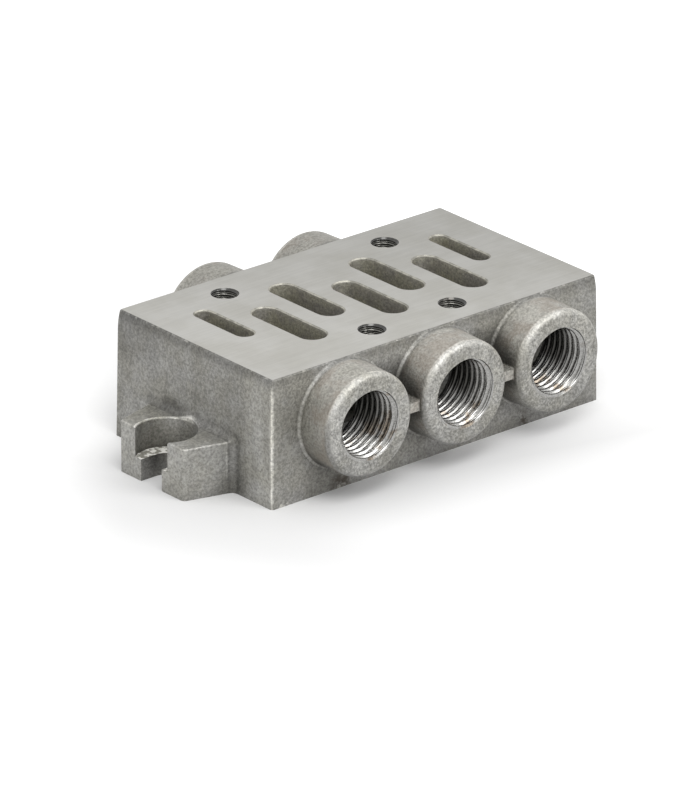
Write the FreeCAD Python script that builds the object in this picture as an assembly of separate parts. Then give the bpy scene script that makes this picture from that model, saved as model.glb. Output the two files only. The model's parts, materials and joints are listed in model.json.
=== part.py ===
import FreeCAD, Part
import math
import os

# Side-ported subbase for a five-port pneumatic valve, in millimetres.
# The origin is the middle of the underside. X runs along the block, +Y is the
# two-port side, -Y is the three-port side and +Z is up.

# Block
top_length = 72.4
top_width = 40.5
body_height = 23.3
wall_draft_deg = 0.7
crown_height = 3.4
crown_inset = 0.28
corner_radius = 0.6
milling_allowance = 1.6

# Valve pattern on the top face
slot_pitch = 9.0
slot_width = 5.0
slot_length = 17.0
slot_row_offset = 3.0
pilot_slot_width = 3.4
pilot_slot_length = 14.0
pilot_slot_depth = 8.0
pilot_slot_x = 26.45
pilot_slot_y = 4.0
slot_edge_break = 0.25
screw_row_offset = 14.0
screw_thread_major = 5.0
screw_hole_depth = 8.0
drill_tip_deg = 118.0

# Ports and the passages behind them
port_thread_major = 13.157
port_thread_minor = 11.445
port_depth = 10.6
port_axis_height = 13.55
front_port_pitch = 21.2
rear_port_pitch = 22.0
duct_height = 8.0
duct_corner_radius = 2.2

# Bosses, and the webs between neighbours
boss_reach = 7.75
boss_root_radius = 9.5
boss_draft_deg = 1.5
boss_rim_rounding = 1.1
boss_root_fillet = 0.5
web_thickness = 1.8
web_setback = 1.2
web_fillet = 0.4

# Fixing feet
foot_reach = 9.0
foot_height = 9.4
foot_tip_half_width = 8.4
foot_root_half_width = 10.9
foot_tip_radius = 0.9
foot_root_fillet = 1.4
foot_rim_radius = 0.35
foot_screw_slot_width = 5.5
foot_pocket_diameter = 10.8
foot_pocket_floor = 4.0
foot_pocket_wall_gap = 0.4

# How far a cutter runs past the face that it opens
cutter_overrun = 1.0

Vector = FreeCAD.Vector
origin = Vector(0, 0, 0)


def mirrored_across(shape, side, normal):
    """The shape itself on the positive side, or its mirror image on the negative side."""
    return shape if side > 0 else shape.mirror(origin, normal)


def edges_where(shape, test):
    """Edges of a shape whose bounding box passes a test."""
    return [edge for edge in shape.Edges if test(edge.BoundBox)]


def is_upright(box):
    """True for an edge that climbs far more than it runs sideways."""
    return box.ZLength > 3 * max(box.XLength, box.YLength)


def wall_half(half_at_top, height):
    """Half size of the block at a height: straight draft, then a curve inward to the top."""
    crown_foot = body_height - crown_height
    flare = (body_height - height) * math.tan(math.radians(wall_draft_deg))
    climb = max(0.0, height - crown_foot) / crown_height
    return half_at_top + crown_inset + flare - crown_inset * climb ** 2


def end_wall_half(height):
    """Distance of the end walls from the middle at a height."""
    return wall_half(top_length / 2, height)


def drafted_prism(half_at_top, across, along):
    """Prism with the drafted and crowned upright outline, twice as long as the block."""
    crown_foot = body_height - crown_height
    raw_top = body_height + milling_allowance
    crown_middle = (crown_foot + raw_top) / 2

    def at(side, height):
        return across * (side * wall_half(half_at_top, height)) + Vector(0, 0, height)

    def crown(side):
        return Part.Arc(at(side, crown_foot), at(side, crown_middle), at(side, raw_top)).toShape()

    outline = Part.Wire([
        Part.makeLine(at(-1, 0), at(1, 0)),
        Part.makeLine(at(1, 0), at(1, crown_foot)),
        crown(1),
        Part.makeLine(at(1, raw_top), at(-1, raw_top)),
        crown(-1),
        Part.makeLine(at(-1, crown_foot), at(-1, 0)),
    ])
    prism = Part.Face(outline).extrude(along * 2 * top_length)
    prism.translate(along * -top_length)
    return prism


def block():
    """Drafted block with rounded upright corners, still with its milling allowance."""
    x_axis = Vector(1, 0, 0)
    y_axis = Vector(0, 1, 0)
    long_walls = drafted_prism(top_width / 2, y_axis, x_axis)
    end_walls = drafted_prism(top_length / 2, x_axis, y_axis)
    solid = long_walls.common(end_walls)
    return solid.makeFillet(corner_radius, edges_where(solid, is_upright))


def port_sites():
    """Place of every port along the block, with the side that it opens on."""
    front = [(step * front_port_pitch, -1) for step in (-1, 0, 1)]
    rear = [(step * rear_port_pitch / 2, 1) for step in (-1, 1)]
    return front + rear


def slot_sites():
    """Place of every main slot, with the side of the port that it feeds."""
    front = [(step * 2 * slot_pitch, -1) for step in (-1, 0, 1)]
    rear = [(step * slot_pitch, 1) for step in (-1, 1)]
    return front + rear


def screw_sites():
    """Places of the four valve screws, the wide pair at the rear."""
    rear = [(step * 2 * slot_pitch, screw_row_offset) for step in (-1, 1)]
    front = [(step * slot_pitch, -screw_row_offset) for step in (-1, 1)]
    return rear + front


def boss_face():
    """Distance of the boss rims from the middle plane of the block."""
    return top_width / 2 + boss_reach


def turned_on_port_axis(outline, x, side):
    """Solid turned about a port axis, from an outline drawn on the +Y side."""
    profile = Part.Face(Part.Wire(outline))
    solid = profile.revolve(origin, Vector(0, 1, 0), 360)
    solid.translate(Vector(x, 0, port_axis_height))
    return mirrored_across(solid, side, Vector(0, 1, 0))


def boss(x, side):
    """Tapered round boss with a rounded rim."""
    root_y = top_width / 2
    buried_y = root_y - 2 * boss_root_fillet
    shoulder_y = boss_face() - boss_rim_rounding
    slope = math.tan(math.radians(boss_draft_deg))
    buried_r = boss_root_radius + slope * (root_y - buried_y)
    shoulder_r = boss_root_radius - slope * (shoulder_y - root_y)
    rim_r = shoulder_r - boss_rim_rounding
    bulge = boss_rim_rounding * math.sqrt(0.5)
    shoulder = Vector(shoulder_r, shoulder_y, 0)
    middle = Vector(rim_r + bulge, shoulder_y + bulge, 0)
    rim = Vector(rim_r, boss_face(), 0)
    outline = [
        Part.makeLine(Vector(0, buried_y, 0), Vector(buried_r, buried_y, 0)),
        Part.makeLine(Vector(buried_r, buried_y, 0), shoulder),
        Part.Arc(shoulder, middle, rim).toShape(),
        Part.makeLine(rim, Vector(0, boss_face(), 0)),
        Part.makeLine(Vector(0, boss_face(), 0), Vector(0, buried_y, 0)),
    ]
    return turned_on_port_axis(outline, x, side)


def is_boss_root(box):
    """True for an edge of the circle where a boss leaves the side wall."""
    across = box.Center.y
    lean = wall_half(top_width / 2, 0) - top_width / 2
    in_wall = box.YLength < 2 * lean and abs(abs(across) - top_width / 2) < lean
    near_port = [abs(box.Center.x - x) < boss_root_radius for x, side in port_sites()
                 if side * across > 0]
    return in_wall and box.ZLength > boss_root_fillet and any(near_port)


def web(span, side):
    """Thin cast web at axis height, from the first boss axis of one side to the last."""
    low = port_axis_height - web_thickness / 2
    depth = boss_face() - web_setback
    plate = Part.makeBox(span, depth, web_thickness, Vector(-span / 2, 0, low))
    return mirrored_across(plate, side, Vector(0, 1, 0))


def is_web_seam(box):
    """True for the straight edge where a web's face meets a boss flank."""
    at_web = abs(abs(box.Center.z - port_axis_height) - web_thickness / 2) < 0.1
    outside = abs(box.Center.y) > top_width / 2
    return at_web and outside and box.YLength > boss_reach / 2


def foot_blank(side):
    """Flared foot at one end, before its pocket and screw slot are cut."""
    wall = end_wall_half(0)
    tip = wall + foot_reach
    inner = wall - 2 * foot_root_fillet
    flare = (foot_root_half_width - foot_tip_half_width) / foot_reach
    inner_half = foot_root_half_width + flare * (wall - inner)
    outline = Part.makePolygon([
        Vector(inner, -inner_half, 0),
        Vector(tip, -foot_tip_half_width, 0),
        Vector(tip, foot_tip_half_width, 0),
        Vector(inner, inner_half, 0),
        Vector(inner, -inner_half, 0),
    ])
    solid = Part.Face(outline).extrude(Vector(0, 0, foot_height))

    def at_tip_corner(box):
        return is_upright(box) and box.Center.x > wall

    def on_top_rim(box):
        return box.ZMin > foot_height - foot_rim_radius and box.Center.x > wall

    solid = solid.makeFillet(foot_tip_radius, edges_where(solid, at_tip_corner))
    solid = solid.makeFillet(foot_rim_radius, edges_where(solid, on_top_rim))
    return mirrored_across(solid, side, Vector(1, 0, 0))


def is_foot_root(box):
    """True for an edge where a foot's top or side meets the end wall."""
    beside = abs(abs(box.Center.x) - end_wall_half(box.Center.z)) < 0.3
    narrow = max(abs(box.YMin), abs(box.YMax)) < foot_root_half_width + foot_root_fillet
    level_or_upright = box.ZMax < foot_height + foot_rim_radius and box.ZMax > foot_height / 2
    return beside and narrow and level_or_upright


def raw_casting():
    """Block, feet, bosses and webs as cast, with their fillets."""
    solid = block()
    for side in (-1, 1):
        solid = solid.fuse(foot_blank(side))
    solid = solid.makeFillet(foot_root_fillet, edges_where(solid, is_foot_root))
    for x, side in port_sites():
        solid = solid.fuse(boss(x, side))
    solid = solid.makeFillet(boss_root_fillet, edges_where(solid, is_boss_root))
    solid = solid.fuse([web(2 * front_port_pitch, -1), web(rear_port_pitch, 1)])
    return solid.makeFillet(web_fillet, edges_where(solid, is_web_seam))


def milling_stock():
    """What the milling cutter takes off above the top face."""
    length = 2 * top_length
    width = 2 * top_width
    corner = Vector(-length / 2, -width / 2, body_height)
    return Part.makeBox(length, width, 2 * milling_allowance, corner)


def round_ended_slot(length, width, centre, depth):
    """Cutter for a slot along Y with round ends, from a floor point up past the top face."""
    height = depth + cutter_overrun
    straight = length - width
    floor = centre - Vector(0, 0, depth)
    middle = Part.makeBox(width, straight, height, floor - Vector(width / 2, straight / 2, 0))
    ends = [Part.makeCylinder(width / 2, height, floor + Vector(0, end * straight / 2, 0))
            for end in (-1, 1)]
    return middle.fuse(ends).removeSplitter()


def main_slot(x, side):
    """Slot in the top face, down to the floor of the duct that feeds it."""
    depth = body_height - port_axis_height + duct_height / 2
    centre = Vector(x, side * slot_row_offset, body_height)
    return round_ended_slot(slot_length, slot_width, centre, depth)


def pilot_slot(side):
    """Narrow blind slot near one end of the top face."""
    centre = Vector(side * pilot_slot_x, pilot_slot_y, body_height)
    return round_ended_slot(pilot_slot_length, pilot_slot_width, centre, pilot_slot_depth)


def duct(x, side):
    """Cored round-cornered duct that joins a port's bore to its slot."""
    start = slot_row_offset
    stop = boss_face() - port_depth + cutter_overrun
    low = port_axis_height - duct_height / 2
    corner = Vector(x - slot_width / 2, start, low)
    bar = Part.makeBox(slot_width, stop - start, duct_height, corner)

    def runs_lengthwise(box):
        return box.YLength > box.XLength + box.ZLength

    bar = bar.makeFillet(duct_corner_radius, edges_where(bar, runs_lengthwise))
    return mirrored_across(bar, side, Vector(0, 1, 0))


def drill_tip_length(radius):
    """Length of the cone that a drill leaves at the bottom of a hole."""
    return radius / math.tan(math.radians(drill_tip_deg / 2))


def port_bore(x, side):
    """Bore at the thread's major size, with a drill tip at the floor."""
    radius = port_thread_major / 2
    drill_r = port_thread_minor / 2
    floor_y = boss_face() - port_depth
    tip_y = floor_y - drill_tip_length(drill_r)
    over_y = boss_face() + cutter_overrun
    outline = Part.makePolygon([
        Vector(0, tip_y, 0),
        Vector(drill_r, floor_y, 0),
        Vector(radius, floor_y, 0),
        Vector(radius, over_y, 0),
        Vector(0, over_y, 0),
        Vector(0, tip_y, 0),
    ])
    return turned_on_port_axis(outline.Edges, x, side)


def screw_hole(x, y):
    """Blind hole at the thread's major size, with a drill tip."""
    radius = screw_thread_major / 2
    floor = body_height - screw_hole_depth
    tip = floor - drill_tip_length(radius)
    over = body_height + cutter_overrun
    outline = Part.makePolygon([
        Vector(0, 0, tip),
        Vector(radius, 0, floor),
        Vector(radius, 0, over),
        Vector(0, 0, over),
        Vector(0, 0, tip),
    ])
    solid = Part.Face(outline).revolve(origin, Vector(0, 0, 1), 360)
    solid.translate(Vector(x, y, 0))
    return solid


def foot_screw_x():
    """Distance of the fixing screws from the middle: the head pocket stops just short of the wall."""
    return end_wall_half(foot_height) + foot_pocket_wall_gap + foot_pocket_diameter / 2


def foot_cuts(side):
    """Open slot for the screw's shank and round pocket for its head."""
    axis_x = foot_screw_x()
    past_tip = end_wall_half(0) + foot_reach + cutter_overrun
    top = foot_height + foot_root_fillet
    low = -cutter_overrun
    width = foot_screw_slot_width
    bar = Part.makeBox(past_tip - axis_x, width, top - low, Vector(axis_x, -width / 2, low))
    slot_end = Part.makeCylinder(width / 2, top - low, Vector(axis_x, 0, low))
    pocket_radius = foot_pocket_diameter / 2
    pocket_height = top - foot_pocket_floor
    pocket = Part.makeCylinder(pocket_radius, pocket_height, Vector(axis_x, 0, foot_pocket_floor))
    cut = bar.fuse([slot_end, pocket])
    return mirrored_across(cut, side, Vector(1, 0, 0))


def is_slot_mouth(box):
    """True for an edge of a slot in the top face, and not for the round of a screw hole."""
    on_top = box.ZMin > body_height - slot_edge_break / 2
    in_pattern = abs(box.Center.x) < pilot_slot_x + pilot_slot_width and box.YLength < slot_length
    return on_top and in_pattern and abs(box.XLength - box.YLength) > screw_thread_major / 4


def subbase_casting():
    """The finished one-piece subbase: milled, drilled and cored, its slots with broken edges."""
    cuts = [milling_stock()]
    for x, side in slot_sites():
        cuts += [main_slot(x, side), duct(x, side)]
    cuts += [port_bore(x, side) for x, side in port_sites()]
    cuts += [screw_hole(x, y) for x, y in screw_sites()]
    for side in (-1, 1):
        cuts += [pilot_slot(side), foot_cuts(side)]
    solid = raw_casting().cut(cuts)
    return solid.makeChamfer(slot_edge_break, edges_where(solid, is_slot_mouth))


os.makedirs("parts", exist_ok=True)
subbase_casting().exportStep("parts/subbase_casting.step")
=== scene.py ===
import json
import math
from collections import namedtuple

import bpy
from mathutils import Matrix, Vector


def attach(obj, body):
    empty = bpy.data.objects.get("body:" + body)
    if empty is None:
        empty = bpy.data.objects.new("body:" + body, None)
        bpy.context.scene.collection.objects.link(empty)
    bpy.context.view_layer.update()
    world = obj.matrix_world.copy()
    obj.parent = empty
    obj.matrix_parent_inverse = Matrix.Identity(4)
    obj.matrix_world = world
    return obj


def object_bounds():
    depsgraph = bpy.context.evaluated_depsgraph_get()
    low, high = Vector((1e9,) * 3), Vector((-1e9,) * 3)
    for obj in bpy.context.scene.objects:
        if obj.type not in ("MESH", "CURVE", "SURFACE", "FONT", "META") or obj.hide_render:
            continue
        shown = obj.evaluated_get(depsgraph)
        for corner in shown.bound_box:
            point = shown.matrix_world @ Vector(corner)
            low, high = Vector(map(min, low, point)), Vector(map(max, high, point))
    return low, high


# Looks of a cast aluminium valve subbase. Lengths are in millimetres in the materials, in
# the threads and where a name ends in _MM or _mm, and in metres elsewhere. +Z is up and
# -Y is the three-port side.

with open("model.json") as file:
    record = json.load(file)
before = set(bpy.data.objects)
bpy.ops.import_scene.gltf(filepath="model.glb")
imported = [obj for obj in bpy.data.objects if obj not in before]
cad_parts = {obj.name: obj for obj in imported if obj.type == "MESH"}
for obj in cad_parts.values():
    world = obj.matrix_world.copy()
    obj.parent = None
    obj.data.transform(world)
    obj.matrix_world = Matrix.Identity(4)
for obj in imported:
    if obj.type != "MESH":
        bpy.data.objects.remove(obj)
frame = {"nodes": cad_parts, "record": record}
cad_low, cad_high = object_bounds()
casting = frame["nodes"]["subbase_casting"]
mounts = {mount["name"]: mount for mount in frame["record"]["mounts"]}

MM = 0.001

# Places of the casting's own faces
TOP_MM = cad_high.z / MM
RIM_MM = cad_high.y / MM
WALL_X_MM = 36.48
WALL_Y_MM = 20.53
WALL_LEAN = 0.0122
PORT_Z_MM = mounts["port_front_left"]["pos_m"][2] / MM
FOOT_TOP_MM = 9.4
FOOT_ROOT_MM = 37.8
POCKET_R_MM = 5.4
POCKET_X_MM = mounts["foot_screw_right"]["pos_m"][0] / MM
POCKET_FLOOR_MM = mounts["foot_screw_right"]["pos_m"][2] / MM

# Threads, each with a lead-in cone from its mouth, and the points and rings of its mesh
PORT_THREAD = {"pitch": 1.337, "crest_r": 5.72, "depth": 0.80, "mouth_r": 6.27, "lead": 0.50,
               "length": 10.55, "around": 96}
SCREW_THREAD = {"pitch": 0.8, "crest_r": 2.067, "depth": 0.40, "mouth_r": 2.46, "lead": 0.40,
                "length": 7.8, "around": 48}
RINGS_PER_TURN = 9
CREST_SHARE = 0.17
FLANK_SHARE = 0.66
SLEEVE_INTO_WALL_MM = 0.02
MOUTH_BELOW_FACE_MM = 0.01

# Where marks, painted light and painted shade begin and end, some with a third number for how soft
# their ends are
FRONT_WALL_MM = (-20.6, -20.4)
DARK_PATCHES_X_MM = ((-23.6, -19.8, 1.0), (18.8, 20.4, 0.7))
DARK_PATCH_TOP_MM = (1.2, 3.8)
LIGHT_FLECKS_X_MM = ((-35.4, -33.2, 0.5), (-22.4, -20.6, 0.3))
LIGHT_FLECK_TOP_MM = (0.45, 0.85)
FLANK_LIT_Z_MM = (17.0, 22.0)
ROOT_SHADE_END_MM = (11.2, 13.2)
ROOT_LINE_START_MM = (9.4, 9.9)
ROOT_LINE_FOOT_MM = (2.0, 4.0)
SCREW_SLOT_HALF_MM = (2.80, 2.95)
SCREW_SLOT_START_MM = (36.8, 37.2)
SCREW_SLOT_TOP_MM = (3.6, 3.9)
POCKET_EDGE_GLINT_MM = (-2.0, 0.5)
REAR_SHADE_Y_MM = (2.0, 17.0)
REAR_SHADE_Z_MM = (13.0, 18.0)
RIGHT_SHADE_X_MM = (26.0, 35.0)
ABOVE_FOOT_Y_MM = (2.2, 8.2, 1.4)
ABOVE_FOOT_Z_MM = (10.6, 13.2)
NEAR_CORNER_Y_MM = (-16.0, -11.0)
RIM_SHADE_Z_MM = (5.5, 12.5)
WEB_X_MM = (9.3, 12.0, 0.3)
SLOT_FIELD_X_MM = (32.0, 33.0)
SLOT_FIELD_Y_MM = (13.0, 14.0)

# How far off a wall's face its looks begin and end
WALL_CORNER_HIGHLIGHT_MM = (-0.52, -0.24)
ON_END_WALL_MM = (-0.3, -0.1)
OFF_WALL_MM = (0.10, 0.30)

# Noise features per millimetre along x, y and z
CUTTER_LINES = (0.09, 2.6, 1.0)
CASTING_RUNS = (0.55, 0.55, 0.09)


def grey(value, warmth=0.0):
    """A linear grey, neutral at 0 and yellower as the warmth rises."""
    return (value * (1 + warmth), value, value * (1 - 4 * warmth), 1.0)


# Linear colours
SKIN_DARK = grey(0.270, 0.024)
SKIN_LIGHT = grey(0.326, 0.012)
MILLED_DARK = grey(0.44, 0.020)
MILLED_LIGHT = grey(0.50, 0.014)
LEDGE_DARK = grey(0.36, 0.03)
LEDGE_LIGHT = grey(0.92, 0.01)
SLOT_LIP_AND_LIGHT = grey(0.54, 0.030)
SLOT_EDGE = grey(0.19, 0.03)
SLOT_BROWN = (0.470, 0.455, 0.380, 1.0)
SLOT_GREY = (0.390, 0.374, 0.342, 1.0)
LIGHT_FLECK = grey(0.62, 0.02)
STAIN_BROWN = (0.250, 0.208, 0.158, 1.0)
DARK_PATCH = (0.070, 0.050, 0.035, 1.0)
CORNER_DIRT_AND_SHADE = (0.105, 0.090, 0.062, 1.0)
THREAD_BROWN_DARK = (0.130, 0.098, 0.068, 1.0)
THREAD_BROWN_LIGHT = (0.280, 0.225, 0.165, 1.0)
FLOOR_GREY = (0.76, 0.76, 0.76, 1.0)
WHITE = (1.0, 1.0, 1.0, 1.0)

# Roughness and metal share of the surfaces
CAST_ROUGH = 0.54
MILLED_ROUGH = 0.38
LEDGE_ROUGH = 0.85
CAST_METALLIC = 0.85
THREAD_METALLIC = 0.95

# Thread metal: its grey near the mouth and deep down, where it has faded to the second, and
# the share of brown in its stains. In the ports the fade to a dark grey deep down is painted shade
PORT_METAL = {"near_grey": 0.38, "deep_grey": 0.062, "fade_mm": 7.0, "stain_share": 0.8}
SCREW_METAL = {"near_grey": 0.085, "deep_grey": 0.170, "fade_mm": 1.1, "stain_share": 0.1}

# Lamps: name, place, size of the square and power in watts
LAMPS = (("overhead", (-0.14, -0.27, 0.52), 0.28, 1.15),
         ("front", (0.19, -0.47, 0.30), 0.26, 1.00))
SURROUND_LIGHT = 0.85

# Floor: its half size, and where painted light begins and ends to lift it to white away from the
# part
FLOOR_REACH = 3.0
FLOOR_FAR_MM = (54.0, 96.0)
FLOOR_BEFORE_Y_MM = (-42.0, -27.0)
FLOOR_BEFORE_X_MM = (-48.0, -24.0)
FLOOR_BEHIND_MM = (-31.0, 4.0)
FLOOR_BESIDE_MM = (-68.0, -50.0)

# The photograph's camera, found by fitting the valve pattern
PHOTO_HEIGHT = 800
FOCAL_PX = 8123.3
SENSOR_MM = 36.0
EYE_MM = (-835.97, -970.36, 554.467)
EYE_RIGHT = (0.759660, -0.650303, 0.004872)
EYE_UP = (0.253719, 0.303267, 0.918507)
EYE_BACK = (-0.598785, -0.696517, 0.395374)

# A point of a surface: its vector, its x, y and z, and its distances from the middle planes
Place = namedtuple("Place", "vector x y z side_x side_y")


class Graph:
    """Short forms for the shader nodes that the materials share."""

    def __init__(self, tree):
        self.tree = tree

    def node(self, kind, **settings):
        made = self.tree.nodes.new("ShaderNode" + kind)
        for name, value in settings.items():
            setattr(made, name, value)
        return made

    def feed(self, socket, value):
        """Links a socket to an output, or sets its own value."""
        if isinstance(value, bpy.types.NodeSocket):
            self.tree.links.new(value, socket)
        else:
            socket.default_value = value

    def math(self, operation, first, second=0.0):
        made = self.node("Math", operation=operation)
        self.feed(made.inputs[0], first)
        self.feed(made.inputs[1], second)
        return made.outputs[0]

    def plus(self, first, second):
        return self.math("ADD", first, second)

    def minus(self, first, second):
        return self.math("SUBTRACT", first, second)

    def highest(self, first, second):
        return self.math("MAXIMUM", first, second)

    def times(self, first, *others):
        """Product of two or more numbers."""
        for other in others:
            first = self.math("MULTIPLY", first, other)
        return first

    def ramp(self, value, low, high, to_low=0.0, to_high=1.0):
        """Smooth step of a value between two limits."""
        made = self.node("MapRange", interpolation_type="SMOOTHSTEP", clamp=True)
        for name, given in (("Value", value), ("From Min", low), ("From Max", high),
                            ("To Min", to_low), ("To Max", to_high)):
            self.feed(made.inputs[name], given)
        return made.outputs[0]

    def fall(self, value, low, high):
        """Smooth step from 1 down to 0 between two limits."""
        return self.ramp(value, low, high, 1.0, 0.0)

    def between(self, value, low, high, soft):
        """1 inside a range and 0 outside it, with soft ends."""
        rise = self.ramp(value, low - soft, low + soft)
        return self.times(rise, self.fall(value, high - soft, high + soft))

    def mix(self, factor, first, second):
        """Colour mix."""
        made = self.node("Mix", data_type="RGBA")
        self.feed(made.inputs["Factor"], factor)
        self.feed(made.inputs[6], first)
        self.feed(made.inputs[7], second)
        return made.outputs[2]

    def mix_number(self, factor, first, second):
        """Number mix."""
        made = self.node("Mix", data_type="FLOAT")
        self.feed(made.inputs[0], factor)
        self.feed(made.inputs[2], first)
        self.feed(made.inputs[3], second)
        return made.outputs[0]

    def scale(self, vector, factor):
        """Vector or colour times a number."""
        made = self.node("VectorMath", operation="SCALE")
        self.feed(made.inputs[0], vector)
        self.feed(made.inputs["Scale"], factor)
        return made.outputs[0]

    def scale_where(self, colour, mask, factor):
        """Colour times a number where a mask is 1, with a smooth step across the mask."""
        return self.scale(colour, self.ramp(mask, 0.0, 1.0, 1.0, factor))

    def scale_share(self, colour, share, factor):
        """Colour times a number, as far as a share from 0 to 1 says."""
        return self.scale(colour, self.mix_number(share, 1.0, factor))

    def stretched(self, vector, factors):
        made = self.node("VectorMath", operation="MULTIPLY")
        self.feed(made.inputs[0], vector)
        self.feed(made.inputs[1], factors)
        return made.outputs[0]

    def place_mm(self):
        """The surface point in millimetres."""
        vector = self.scale(self.node("TexCoord").outputs["Object"], 1 / MM)
        parts = self.node("SeparateXYZ")
        self.feed(parts.inputs[0], vector)
        x, y, z = parts.outputs
        return Place(vector, x, y, z, self.math("ABSOLUTE", x), self.math("ABSOLUTE", y))

    def noise(self, vector, per_mm, detail=2.0, roughness=0.5):
        """Noise from 0 to 1 with a number of features per millimetre."""
        made = self.node("TexNoise", noise_dimensions="3D")
        self.feed(made.inputs["Vector"], vector)
        self.feed(made.inputs["Scale"], per_mm)
        self.feed(made.inputs["Detail"], detail)
        self.feed(made.inputs["Roughness"], roughness)
        return made.outputs["Fac"]

    def openness(self, distance_mm, only_local):
        """From 0 in a deep corner to 1 in the open, with or without the floor's share."""
        made = self.node("AmbientOcclusion", samples=8, only_local=only_local)
        self.feed(made.inputs["Distance"], distance_mm * MM)
        return made.outputs["AO"]

    def bump(self, height, depth_mm, strength):
        made = self.node("Bump")
        self.feed(made.inputs["Height"], height)
        self.feed(made.inputs["Distance"], depth_mm * MM)
        self.feed(made.inputs["Strength"], strength)
        return made.outputs["Normal"]

    def show(self, shader, output="OutputMaterial"):
        """Puts a shader on the output."""
        self.feed(self.node(output).inputs["Surface"], shader.outputs[0])

    def show_metal(self, colour, metallic, rough, normal):
        shader = self.node("BsdfPrincipled")
        self.feed(shader.inputs["Base Color"], colour)
        self.feed(shader.inputs["Metallic"], metallic)
        self.feed(shader.inputs["Roughness"], rough)
        self.feed(shader.inputs["Normal"], normal)
        self.show(shader)


def new_material(name):
    """An empty node material and the graph of its nodes."""
    material = bpy.data.materials.new(name)
    material.use_nodes = True
    material.node_tree.nodes.clear()
    return material, Graph(material.node_tree)


def cast_skin(graph, at, grain, cloud):
    """Grey skin with a coarse grain, clouds and faint upright runs."""
    run_space = graph.stretched(at.vector, CASTING_RUNS)
    run = graph.noise(run_space, 1.0, detail=3.0, roughness=0.6)
    skin = graph.mix(graph.ramp(cloud, 0.36, 0.66), SKIN_DARK, SKIN_LIGHT)
    skin = graph.scale(skin, graph.ramp(grain, 0.30, 0.70, 0.72, 1.28))
    return graph.scale(skin, graph.ramp(run, 0.30, 0.70, 0.93, 1.07))


def stains_and_flank_light(graph, colour, at):
    """Painted light on the boss flanks, stronger towards the top, and brown handling marks on the
    bosses and along the front lower edge.
    """
    blotch = graph.noise(at.vector, 0.16, detail=4.0, roughness=0.65)
    on_flank = graph.between(at.side_y, WALL_Y_MM + 0.6, RIM_MM - 1.0, 0.5)
    # Painted light: the boss flanks are lighter, more so towards the top
    colour = graph.scale_share(colour, on_flank, graph.ramp(at.z, *FLANK_LIT_Z_MM, 1.18, 1.34))
    tint = graph.times(on_flank, graph.ramp(blotch, 0.44, 0.62, 0.04, 0.50))
    colour = graph.mix(tint, colour, STAIN_BROWN)

    # Dark patches near the lower edge, and light flecks on it
    spot = graph.noise(at.vector, 0.9, detail=4.0, roughness=0.7)
    front = graph.fall(at.y, *FRONT_WALL_MM)
    low_front = graph.times(graph.fall(at.z, *DARK_PATCH_TOP_MM), front)
    in_patch = graph.highest(*(graph.between(at.x, *span) for span in DARK_PATCHES_X_MM))
    patch = graph.times(low_front, in_patch, graph.ramp(spot, 0.36, 0.56))
    colour = graph.mix(graph.times(patch, 0.80), colour, DARK_PATCH)
    lowest = graph.times(graph.fall(at.z, *LIGHT_FLECK_TOP_MM), front)
    in_fleck = graph.highest(*(graph.between(at.x, *span) for span in LIGHT_FLECKS_X_MM))
    fleck = graph.times(lowest, in_fleck, graph.ramp(spot, 0.46, 0.54))
    return graph.mix(graph.times(fleck, 0.8), colour, LIGHT_FLECK)


def off_wall(graph, at, side, wall_mm):
    """How far a point is outside the face of a leaning wall, in mm."""
    lean = graph.times(graph.minus(TOP_MM, at.z), WALL_LEAN)
    return graph.minus(graph.minus(side, lean), wall_mm)


def wall_looks(graph, colour, at, off_x, off_y, wander):
    """Painted highlight on corner lines and painted light on the long walls and near the front;
    painted shade high at the rear and right; darker over the feet.
    """
    # Painted highlight along the upright corner lines of the left end
    at_end = graph.ramp(graph.plus(off_x, wander), *WALL_CORNER_HIGHLIGHT_MM)
    at_side = graph.ramp(graph.plus(off_y, wander), *WALL_CORNER_HIGHLIGHT_MM)
    corner = graph.times(at_end, at_side, graph.ramp(at.x, -4.0, 4.0, 1.0, 0.15))
    colour = graph.scale(colour, graph.ramp(corner, 0.2, 0.9, 1.0, 1.56))
    # Painted light: the front and rear walls and the bosses are lighter than the end walls
    colour = graph.scale(colour, graph.ramp(off_y, -0.9, -0.3, 1.0, 1.14))

    # Painted shade high on the walls at the rear, and towards the right end
    high_rear = graph.times(graph.ramp(at.y, *REAR_SHADE_Y_MM), graph.ramp(at.z, *REAR_SHADE_Z_MM))
    colour = graph.scale_where(colour, high_rear, 0.80)
    colour = graph.scale(colour, graph.ramp(at.x, *RIGHT_SHADE_X_MM, 1.0, 0.84))

    on_end_wall = graph.ramp(off_x, *ON_END_WALL_MM)
    above_foot = graph.times(graph.fall(at.z, *ABOVE_FOOT_Z_MM),
                             graph.between(at.y, *ABOVE_FOOT_Y_MM),
                             graph.fall(at.side_x, FOOT_ROOT_MM - 0.6, FOOT_ROOT_MM),
                             on_end_wall)
    colour = graph.scale_where(colour, above_foot, 0.72)
    # Painted light on the end walls towards the front corner
    near_corner = graph.times(on_end_wall, graph.fall(at.y, *NEAR_CORNER_Y_MM))
    return graph.scale_where(colour, near_corner, 1.30)


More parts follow.
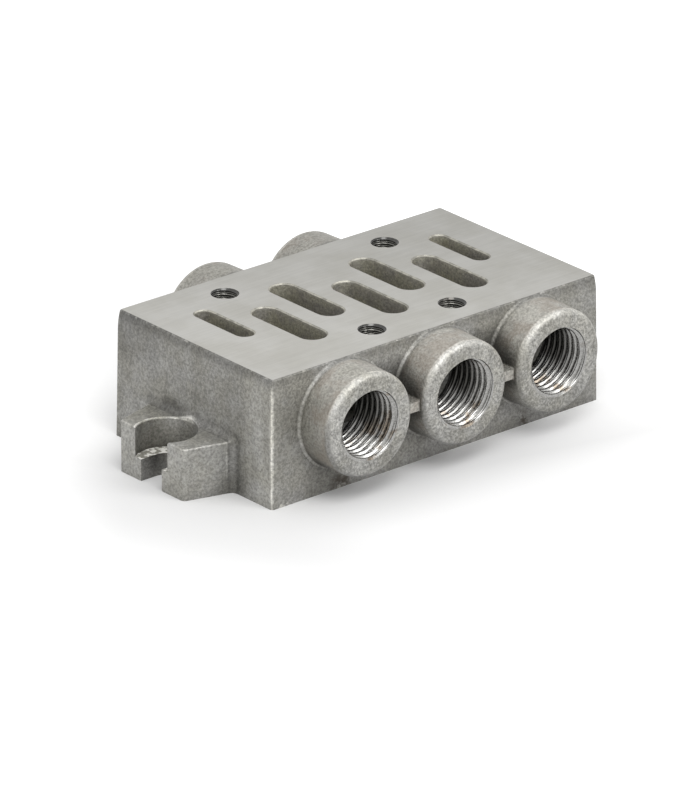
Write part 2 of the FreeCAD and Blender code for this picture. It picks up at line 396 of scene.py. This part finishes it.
def foot_looks(graph, colour, at):
    """Lighter feet with painted light on their tops, painted highlights on the head pocket's edge
    and beside the roots, and painted shade along their roots.
    """
    along = graph.minus(at.side_x, POCKET_X_MM)
    radius = graph.math("SQRT", graph.plus(graph.times(along, along), graph.times(at.y, at.y)))
    on_foot = graph.ramp(at.side_x, FOOT_ROOT_MM - 0.3, FOOT_ROOT_MM + 0.3)
    on_top = graph.ramp(at.z, FOOT_TOP_MM - 0.30, FOOT_TOP_MM - 0.10)
    colour = graph.scale_where(colour, on_foot, 1.20)
    # Painted light on the tops of the feet
    colour = graph.scale_where(colour, graph.times(on_foot, on_top), 1.22)

    # Painted shade along the root, with a thin painted highlight beside it
    at_root = graph.times(graph.ramp(radius, POCKET_R_MM + 0.1, POCKET_R_MM + 0.3),
                          graph.fall(at.z, FOOT_TOP_MM + 0.7, FOOT_TOP_MM + 2.0),
                          graph.minus(1.0, on_foot),
                          graph.fall(at.side_y, *ROOT_SHADE_END_MM))
    colour = graph.scale_where(colour, at_root, 0.72)
    line = graph.times(graph.between(at.side_x, FOOT_ROOT_MM + 0.1, FOOT_ROOT_MM + 0.4, 0.08),
                       graph.ramp(at.side_y, *ROOT_LINE_START_MM),
                       graph.ramp(at.z, *ROOT_LINE_FOOT_MM))
    colour = graph.scale_where(colour, line, 1.35)

    # Walls of the screw slot below the head pocket
    in_screw_slot = graph.times(graph.fall(at.side_y, *SCREW_SLOT_HALF_MM),
                                graph.ramp(at.side_x, *SCREW_SLOT_START_MM),
                                graph.fall(at.z, *SCREW_SLOT_TOP_MM))
    colour = graph.scale_where(colour, in_screw_slot, 1.15)

    # Painted highlight, patchy, on the upper edge of the head pocket, fading out towards the front
    edge = graph.between(radius, POCKET_R_MM - 0.3, POCKET_R_MM + 0.35, 0.06)
    edge = graph.times(edge, on_top)
    patchy_glint = graph.ramp(graph.noise(at.vector, 1.3), 0.35, 0.60, 0.55, 1.0)
    patchy_glint = graph.times(patchy_glint, graph.ramp(at.y, *POCKET_EDGE_GLINT_MM))
    return graph.scale_where(colour, graph.times(edge, patchy_glint), 2.1)


def top_edge(graph, colour, at, off_x, off_y, wander):
    """Painted shade in a ragged band below the milled edge of the walls, with light nicks along
    it.
    """
    on_wall = graph.times(graph.fall(off_x, *OFF_WALL_MM), graph.fall(off_y, *OFF_WALL_MM))
    ragged = graph.plus(at.z, graph.times(wander, 2.2))
    # Painted shade in a ragged band below the top edge
    band = graph.ramp(ragged, TOP_MM - 2.8, TOP_MM - 0.25)
    colour = graph.scale_where(colour, graph.times(band, on_wall), 0.71)
    nick = graph.times(graph.ramp(at.z, TOP_MM - 0.28, TOP_MM - 0.16),
                       graph.ramp(graph.noise(at.vector, 0.60), 0.58, 0.66))
    return graph.scale_where(colour, nick, 1.6)


def boss_looks(graph, colour, at):
    """Speckled rims with a painted highlight on the upper rounding and painted shade lower down,
    and a speckled painted highlight on the front edges of the webs between them.
    """
    speck = graph.noise(at.vector, 3.2)
    rim = graph.ramp(at.side_y, RIM_MM - 0.25, RIM_MM - 0.05)
    colour = graph.scale_share(colour, rim, graph.ramp(speck, 0.32, 0.70, 0.84, 1.34))
    # Painted highlight on the upper rim rounding, painted shade on its lower part
    rounding = graph.between(at.side_y, RIM_MM - 1.15, RIM_MM - 0.20, 0.15)
    above = graph.ramp(at.z, PORT_Z_MM - 1.0, PORT_Z_MM + 6.0, 0.76, 1.50)
    colour = graph.scale_share(colour, rounding, above)
    # Painted shade low on the rim faces
    colour = graph.scale_share(colour, rim, graph.ramp(at.z, *RIM_SHADE_Z_MM, 0.78, 1.0))
    # Painted highlight, speckled, on the front edges of the webs
    web = graph.times(graph.between(at.z, PORT_Z_MM - 1.2, PORT_Z_MM + 1.2, 0.2),
                      graph.between(at.side_y, RIM_MM - 4.0, RIM_MM - 1.0, 0.5),
                      graph.between(at.side_x, *WEB_X_MM))
    return graph.scale_share(colour, web, graph.ramp(speck, 0.34, 0.66, 1.0, 1.55))


def corner_dirt_and_shade(graph, colour):
    """Brownish dirt and painted shade in tight corners, and painted shade where the part shades
    itself.
    """
    dirt_and_shade = graph.fall(graph.openness(2.2, only_local=True), 0.30, 0.80)
    colour = graph.mix(graph.times(dirt_and_shade, 0.36), colour, CORNER_DIRT_AND_SHADE)
    # Painted shade where the part shades itself
    wide = graph.openness(10.0, only_local=False)
    return graph.scale(colour, graph.ramp(wide, 0.30, 0.66, 0.30, 1.0))


def slot_wall_colour(graph, at, grain, cloud, wander):
    """Pale lip, partly its own metal and partly painted light from above, with a ragged dark edge
    at the top; brownish cast face below.
    """
    # Lip at the top: lighter metal and painted light from above
    lip_and_light = graph.ramp(graph.plus(at.z, wander), TOP_MM - 0.70, TOP_MM - 0.25)
    murk = graph.mix(graph.ramp(cloud, 0.40, 0.60), SLOT_BROWN, SLOT_GREY)
    murk = graph.scale(murk, graph.ramp(grain, 0.30, 0.70, 0.76, 1.24))
    wall = graph.mix(lip_and_light, murk, SLOT_LIP_AND_LIGHT)
    torn = graph.ramp(graph.noise(at.vector, 0.8, detail=4.0), 0.38, 0.60, 0.35, 1.0)
    edge = graph.times(graph.ramp(at.z, TOP_MM - 0.42, TOP_MM - 0.24), torn)
    return graph.mix(graph.times(edge, 0.72), wall, SLOT_EDGE)


def milled_colour(graph, at):
    """Pale face with fine cutter lines, and painted shade that greys it towards its far right
    corner.
    """
    cloud = graph.noise(at.vector, 0.12, detail=3.0, roughness=0.6)
    line = graph.noise(graph.stretched(at.vector, CUTTER_LINES), 1.0, detail=3.0)
    colour = graph.mix(graph.ramp(cloud, 0.3, 0.7), MILLED_DARK, MILLED_LIGHT)
    colour = graph.scale(colour, graph.ramp(line, 0.25, 0.75, 0.96, 1.04))
    # Painted shade towards the far right corner
    far_right = graph.plus(at.x, graph.times(at.y, 1.4))
    return graph.scale(colour, graph.ramp(far_right, -50.0, 60.0, 1.02, 0.80))


def ledge_colour(graph, at):
    """Patchy bright floor of the head pockets in the feet."""
    patchy = graph.ramp(graph.noise(at.vector, 1.4, detail=3.0), 0.42, 0.58)
    return graph.mix(patchy, LEDGE_DARK, LEDGE_LIGHT)


def aluminium_material():
    """Grainy cast skin, with milled faces, painted light and shade, painted highlights and light
    nicks on edges, and dirt and painted shade in the corners.
    """
    material, graph = new_material("cast_aluminium")
    at = graph.place_mm()
    grain = graph.noise(at.vector, 2.2, detail=3.0, roughness=0.66)
    cloud = graph.noise(at.vector, 0.16, detail=4.0, roughness=0.62)
    fine = graph.noise(at.vector, 4.2, detail=1.0)
    wander = graph.times(graph.minus(graph.noise(at.vector, 1.1), 0.5), 0.25)
    off_x = off_wall(graph, at, at.side_x, WALL_X_MM)
    off_y = off_wall(graph, at, at.side_y, WALL_Y_MM)

    skin = cast_skin(graph, at, grain, cloud)
    skin = stains_and_flank_light(graph, skin, at)
    skin = wall_looks(graph, skin, at, off_x, off_y, wander)
    skin = foot_looks(graph, skin, at)
    skin = top_edge(graph, skin, at, off_x, off_y, wander)
    skin = boss_looks(graph, skin, at)
    skin = corner_dirt_and_shade(graph, skin)
    in_slot = graph.times(graph.fall(at.side_x, *SLOT_FIELD_X_MM),
                          graph.fall(at.side_y, *SLOT_FIELD_Y_MM))
    skin = graph.mix(in_slot, skin, slot_wall_colour(graph, at, grain, cloud, wander))

    facing = graph.node("SeparateXYZ")
    graph.feed(facing.inputs[0], graph.node("TexCoord").outputs["Normal"])
    faces_up = graph.ramp(facing.outputs[2], 0.90, 0.97)
    is_top = graph.ramp(at.z, TOP_MM - 0.03, TOP_MM - 0.01)
    near_floor = graph.between(at.z, POCKET_FLOOR_MM - 0.15, POCKET_FLOOR_MM + 0.15, 0.05)
    is_ledge = graph.times(near_floor, faces_up)
    colour = graph.mix(is_top, skin, milled_colour(graph, at))
    colour = graph.mix(is_ledge, colour, ledge_colour(graph, at))
    rough = graph.mix_number(is_top, CAST_ROUGH, MILLED_ROUGH)
    rough = graph.mix_number(is_ledge, rough, LEDGE_ROUGH)

    relief = graph.plus(graph.times(grain, 0.75), graph.times(fine, 0.25))
    relief = graph.times(relief, graph.mix_number(graph.highest(is_top, is_ledge), 1.0, 0.04))
    graph.show_metal(colour, CAST_METALLIC, rough, graph.bump(relief, 0.16, 0.8))
    return material


def thread_material(name, depth_of, metal):
    """Cut metal of a thread, with its grey changing down the hole and a share of brown stains."""
    material, graph = new_material(name)
    at = graph.place_mm()
    stain = graph.noise(at.vector, 0.22, detail=3.0, roughness=0.6)
    nick = graph.noise(at.vector, 2.6)
    nicked = graph.ramp(nick, 0.3, 0.7)
    near = metal["near_grey"]
    cut = graph.mix(nicked, grey(near * 0.85, 0.010), grey(near * 1.15, 0.008))
    brown = graph.mix(nicked, THREAD_BROWN_DARK, THREAD_BROWN_LIGHT)
    colour = graph.mix(graph.ramp(stain, 0.54, 0.66, 0.0, metal["stain_share"]), cut, brown)

    # Down a port the grey fades into painted shade. The lower turns catch the light, so they stay
    # lighter deep down, as painted light
    deep = graph.ramp(depth_of(graph, at), 0.2 * metal["fade_mm"], metal["fade_mm"])
    deep = graph.times(deep, graph.ramp(at.z, PORT_Z_MM - 4.8, PORT_Z_MM - 2.4, 0.10, 1.0))
    colour = graph.mix(deep, colour, grey(metal["deep_grey"], 0.020))
    rough = graph.ramp(nick, 0.3, 0.7, 0.17, 0.27)
    graph.show_metal(colour, THREAD_METALLIC, rough, graph.bump(nick, 0.008, 0.5))
    return material


def port_depth(graph, at):
    """How far a point is inside the port's rim, in mm."""
    return graph.minus(RIM_MM, at.side_y)


def screw_depth(graph, at):
    """How far a point is below the top face, in mm."""
    return graph.minus(TOP_MM, at.z)


def thread_profile(phase):
    """Radial place in a V thread with flats, from 0 at the crest to 1 at the root."""
    triangle = 1 - abs(2 * (phase % 1.0) - 1)
    return min(1.0, max(0.0, (triangle - CREST_SHARE) / FLANK_SHARE))


def thread_radius(sizes, depth, turn):
    """Radius of a thread's surface at a depth and a share of a turn, with its lead-in cone."""
    groove = thread_profile(depth / sizes["pitch"] + turn)
    funnel = sizes["mouth_r"] - depth * (sizes["mouth_r"] - sizes["crest_r"]) / sizes["lead"]
    return max(sizes["crest_r"] + sizes["depth"] * groove, funnel)


def ring(radii, depth):
    """Points round a hole's axis at a depth, one for each radius."""
    points = []
    for spoke, radius in enumerate(radii):
        angle = 2 * math.pi * (spoke / len(radii))
        points.append((radius * math.cos(angle), radius * math.sin(angle), -depth))
    return points


def thread_sleeve(name, sizes, wall_r):
    """Closed sleeve with a thread on its inside. Its mouth is at 0 and it runs down -Z, in mm."""
    around = sizes["around"]
    length = sizes["length"]
    steps = round(length / sizes["pitch"] * RINGS_PER_TURN)
    rings = []
    for step in range(steps + 1):
        depth = length * step / steps
        rings.append(ring([thread_radius(sizes, depth, spoke / around)
                           for spoke in range(around)], depth))
    for depth in (length, 0.0):
        rings.append(ring([wall_r + SLEEVE_INTO_WALL_MM] * around, depth))
    last = len(rings) - 1
    points = [point for points_of_ring in rings for point in points_of_ring]
    faces = []
    for row in range(len(rings)):
        following = (row + 1) % len(rings)
        for spoke in range(around):
            beside = (spoke + 1) % around
            faces.append((row * around + spoke, row * around + beside,
                          following * around + beside, following * around + spoke))
    mesh = bpy.data.meshes.new(name)
    mesh.from_pydata(points, [], faces)
    mesh.polygons.foreach_set("use_smooth", [True] * len(faces))
    mesh.update(calc_edges=True)

    # Sharp rims at both ends, and the skin's material on the ring at the mouth
    sharp_rings = {(row, row) for row in (0, steps, steps + 1, last)}
    for edge in mesh.edges:
        edge.use_edge_sharp = tuple(vertex // around for vertex in edge.vertices) in sharp_rings
    for face in mesh.polygons[last * around:]:
        face.material_index = 1
    piece = bpy.data.objects.new(name, mesh)
    bpy.context.scene.collection.objects.link(piece)
    return piece


def add_thread(name, sizes, wall_r, mouth, outward, materials):
    """A sleeve with its mouth at a point and its bore along an outward direction."""
    piece = thread_sleeve(name, sizes, wall_r)
    for material in materials:
        piece.data.materials.append(material)
    turn = outward.to_track_quat("Z", "Y").to_matrix().to_4x4()
    piece.data.transform(Matrix.Translation(mouth) @ turn @ Matrix.Scale(MM, 4))
    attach(piece, "root")


def port_threads(materials):
    """A threaded sleeve in each port."""
    for name, mount in mounts.items():
        if mount["kind"] != "threaded_hole":
            continue
        outward = Vector(mount["axis"])
        mouth = Vector(mount["pos_m"])
        mouth.y = outward.y * (RIM_MM - MOUTH_BELOW_FACE_MM) * MM
        add_thread(name + "_thread", PORT_THREAD, mount["dims"]["r_mm"], mouth, outward, materials)


def screw_threads(materials):
    """A threaded sleeve in each of the four valve screw holes."""
    for name in ("valve_screws_rear", "valve_screws_front"):
        mount = mounts[name]
        half_spacing = mount["dims"]["spacing_x_mm"] / 2 * MM
        for side, label in ((-1, "left"), (1, "right")):
            mouth = Vector(mount["pos_m"])
            mouth.x += side * half_spacing
            mouth.z -= MOUTH_BELOW_FACE_MM * MM
            add_thread(f"{name}_{label}_thread", SCREW_THREAD, mount["dims"]["hole_r_mm"],
                       mouth, Vector((0, 0, 1)), materials)


def floor_lift(graph):
    """How much painted light lifts a point of the floor towards white, sooner behind and beside
    the part.
    """
    at = graph.place_mm()
    distance = graph.node("VectorMath", operation="LENGTH")
    graph.feed(distance.inputs[0], at.vector)
    far = graph.ramp(distance.outputs["Value"], *FLOOR_FAR_MM, 0.0, 0.40)
    before = graph.times(graph.ramp(at.y, *FLOOR_BEFORE_Y_MM, 0.12, 0.0),
                         graph.ramp(at.x, *FLOOR_BEFORE_X_MM))
    behind = graph.plus(at.y, graph.times(at.x, 0.6))
    behind = graph.ramp(behind, *FLOOR_BEHIND_MM, 0.0, 0.20)
    beside = graph.plus(at.x, graph.times(at.y, -0.86))
    beside = graph.ramp(beside, *FLOOR_BESIDE_MM, 0.13, 0.0)
    return graph.plus(graph.plus(far, graph.highest(before, behind)), beside)


def floor_piece():
    """White floor that keeps the shadow, with painted light lifting it towards white away from the
    part.
    """
    mesh = bpy.data.meshes.new("floor")
    corners = [(x * FLOOR_REACH, y * FLOOR_REACH, 0)
               for x, y in ((-1, -1), (1, -1), (1, 1), (-1, 1))]
    mesh.from_pydata(corners, [], [(0, 1, 2, 3)])
    floor = bpy.data.objects.new("floor", mesh)
    bpy.context.scene.collection.objects.link(floor)
    material, graph = new_material("floor")
    rays = graph.node("LightPath")
    shadowed = graph.node("BsdfDiffuse")
    graph.feed(shadowed.inputs["Color"], FLOOR_GREY)
    lift = graph.node("Emission")
    # Painted light for camera rays, lifting the floor towards white by place
    seen_lift = graph.times(rays.outputs["Is Camera Ray"], floor_lift(graph))
    graph.feed(lift.inputs["Strength"], seen_lift)
    lifted = graph.node("AddShader")
    graph.feed(lifted.inputs[0], shadowed.outputs[0])
    graph.feed(lifted.inputs[1], lift.outputs[0])

    # Plain white in mirrors and glass
    mirrored = graph.highest(rays.outputs["Is Glossy Ray"], rays.outputs["Is Transmission Ray"])
    chosen = graph.node("MixShader")
    graph.feed(chosen.inputs[0], mirrored)
    graph.feed(chosen.inputs[1], lifted.outputs[0])
    graph.feed(chosen.inputs[2], graph.node("Emission").outputs[0])
    graph.show(chosen)
    mesh.materials.append(material)


def surround():
    """White surround for the rays that see it, a little dimmer for the light that falls."""
    world = bpy.data.worlds.new("studio")
    world.use_nodes = True
    world.node_tree.nodes.clear()
    graph = Graph(world.node_tree)
    rays = graph.node("LightPath")
    seen = graph.highest(rays.outputs["Is Camera Ray"], rays.outputs["Is Transmission Ray"])
    seen = graph.highest(seen, rays.outputs["Is Glossy Ray"])
    background = graph.node("Background")
    graph.feed(background.inputs["Color"], WHITE)
    graph.feed(background.inputs["Strength"], graph.ramp(seen, 0.0, 1.0, SURROUND_LIGHT, 1.0))
    graph.show(background, "OutputWorld")
    bpy.context.scene.world = world


def softbox(name, place, size, power):
    """A square area lamp that is aimed at the middle of the part."""
    light = bpy.data.lights.new(name, "AREA")
    light.shape = "SQUARE"
    light.size = size
    light.energy = power
    lamp = bpy.data.objects.new(name, light)
    lamp.location = place
    lamp.rotation_mode = "QUATERNION"
    aim = Vector((0, 0, TOP_MM / 2 * MM)) - Vector(place)
    lamp.rotation_quaternion = aim.to_track_quat("-Z", "Y")
    bpy.context.scene.collection.objects.link(lamp)


def camera():
    """The camera at the photograph's place."""
    data = bpy.data.cameras.new("photo_camera")
    data.sensor_fit = "AUTO"
    data.sensor_width = SENSOR_MM
    data.lens = FOCAL_PX * SENSOR_MM / PHOTO_HEIGHT
    data.clip_start = 0.05
    data.clip_end = 20.0
    turn = Matrix((EYE_RIGHT, EYE_UP, EYE_BACK)).transposed().to_4x4()
    eye = bpy.data.objects.new("photo_camera", data)
    eye.matrix_world = Matrix.Translation(Vector(EYE_MM) * MM) @ turn
    bpy.context.scene.collection.objects.link(eye)
    bpy.context.scene.camera = eye


skin = aluminium_material()
casting.data.materials.clear()
casting.data.materials.append(skin)
port_threads((thread_material("port_thread_metal", port_depth, PORT_METAL), skin))
screw_threads((thread_material("screw_thread_metal", screw_depth, SCREW_METAL), skin))
floor_piece()
surround()
for lamp in LAMPS:
    softbox(*lamp)
camera()
bpy.context.scene.view_settings.view_transform = "Standard"
